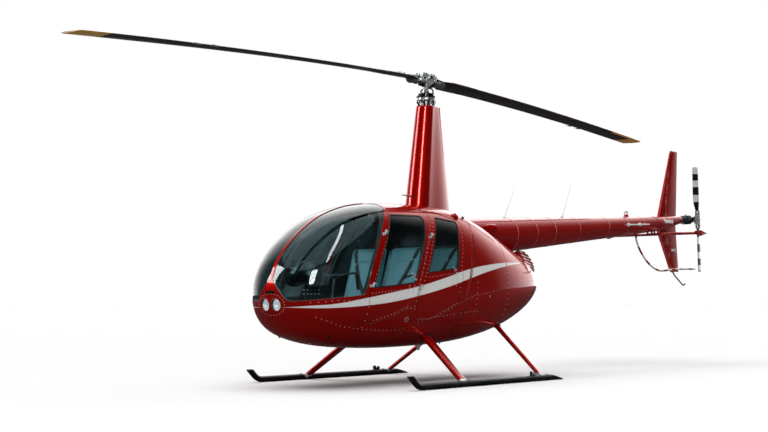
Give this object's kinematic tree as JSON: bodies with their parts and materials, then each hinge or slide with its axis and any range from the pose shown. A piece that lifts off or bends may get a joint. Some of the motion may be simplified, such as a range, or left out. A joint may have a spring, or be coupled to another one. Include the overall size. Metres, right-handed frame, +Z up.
{
  "type": "light four-seat helicopter",
  "caption": "Light piston helicopter: rounded cabin with doors that open, tall mast with a seesaw rotor, slim tailcone with fins and tail rotor, standing on skids.",
  "frame": {"origin": "on the ground under the middle of the whole machine's box, blades included", "axes": "+X port, +Y aft, +Z up; the blades lie along Y"},
  "size_m": [2.304, 11.0764, 3.373],
  "materials": {
    "red_paint": "deep red metallic gloss paint",
    "white_paint": "gloss white paint",
    "glazing": "pale grey-green acrylic",
    "lamp_glass": "clear lens",
    "bulkhead_metal": "bare sheet",
    "engine_metal": "dull cast metal",
    "black_enamel": "satin black enamel",
    "console_black": "satin black",
    "seat_leather": "blue-grey leather",
    "floor_carpet": "dark carpet",
    "steel": "machined steel",
    "blade_paint": "satin near-black paint"
  },
  "bodies": {
    "airframe": {"bar_aerial_port": "white_paint", "bar_aerial_starboard": "white_paint", "bulkhead": "bulkhead_metal", "cabin_floor": "floor_carpet", "cabin_hull": "red_paint", "control_stick": "black_enamel", "cowling_engine": "red_paint", "cowling_tail": "red_paint", "engine_block": "engine_metal", "fin_lower": "red_paint", "fin_upper": "red_paint", "instrument_console": "console_black", "landing_lamp_port": "lamp_glass", "landing_lamp_starboard": "lamp_glass", "mast_fairing": "red_paint", "seat_box_front": "console_black", "seat_box_rear": "console_black", "seat_front_port": "seat_leather", "seat_front_starboard": "seat_leather", "seat_rear_port": "seat_leather", "seat_rear_starboard": "seat_leather", "skid_port": "black_enamel", "skid_starboard": "black_enamel", "spine_fairing": "red_paint", "stabiliser": "red_paint", "strut_front_port": "red_paint", "strut_front_starboard": "red_paint", "strut_rear_port": "red_paint", "strut_rear_starboard": "red_paint", "swashplate_fixed": "black_enamel", "tail_beacon": "lamp_glass", "tail_gearbox": "black_enamel", "tail_rotor_guard": "white_paint", "tail_skid": "black_enamel", "tailcone": "red_paint", "windshield_port": "glazing", "windshield_starboard": "glazing"},
    "main_rotor": {"rotor_mast_and_hub": "steel", "rotor_blade_fore": "blade_paint", "rotor_blade_aft": "blade_paint"},
    "tail_rotor": {"tail_rotor_hub": "steel", "tail_blade_upper": "blade_paint", "tail_blade_lower": "blade_paint"},
    "front_door_port": {"door_front_port": "red_paint", "window_front_port": "glazing"},
    "front_door_starboard": {"door_front_starboard": "red_paint", "window_front_starboard": "glazing"},
    "rear_door_port": {"door_rear_port": "red_paint", "window_rear_port": "glazing"},
    "rear_door_starboard": {"door_rear_starboard": "red_paint", "window_rear_starboard": "glazing"}
  },
  "joints": [
    {"name": "main_rotor_spin", "type": "hinge", "parent": "airframe", "child": "main_rotor", "pos_m": [0, -0.51202, 3.2], "axis": [0, 0, 1], "continuous": true},
    {"name": "tail_rotor_spin", "type": "hinge", "parent": "airframe", "child": "tail_rotor", "pos_m": [0.175, 5.37198, 1.985], "axis": [1, 0, 0], "continuous": true},
    {"name": "front_door_port_hinge", "type": "hinge", "parent": "airframe", "child": "front_door_port", "pos_m": [0.666, -2.16702, 0.99], "axis": [0.1394, -0.4672, -0.8731], "range_deg": [0, 80]},
    {"name": "front_door_starboard_hinge", "type": "hinge", "parent": "airframe", "child": "front_door_starboard", "pos_m": [-0.666, -2.16702, 0.99], "axis": [0.1394, 0.4672, 0.8731], "range_deg": [0, 80]},
    {"name": "rear_door_port_hinge", "type": "hinge", "parent": "airframe", "child": "rear_door_port", "pos_m": [0.684, -1.44902, 0.97], "axis": [0.1164, -0.4192, -0.9004], "range_deg": [0, 80]},
    {"name": "rear_door_starboard_hinge", "type": "hinge", "parent": "airframe", "child": "rear_door_starboard", "pos_m": [-0.684, -1.44902, 0.97], "axis": [0.1164, 0.4192, 0.9004], "range_deg": [0, 80]}
  ],
  "couplings": [
    {"joint": "tail_rotor_spin", "follows": "main_rotor_spin", "ratio": -5.9495}
  ]
}
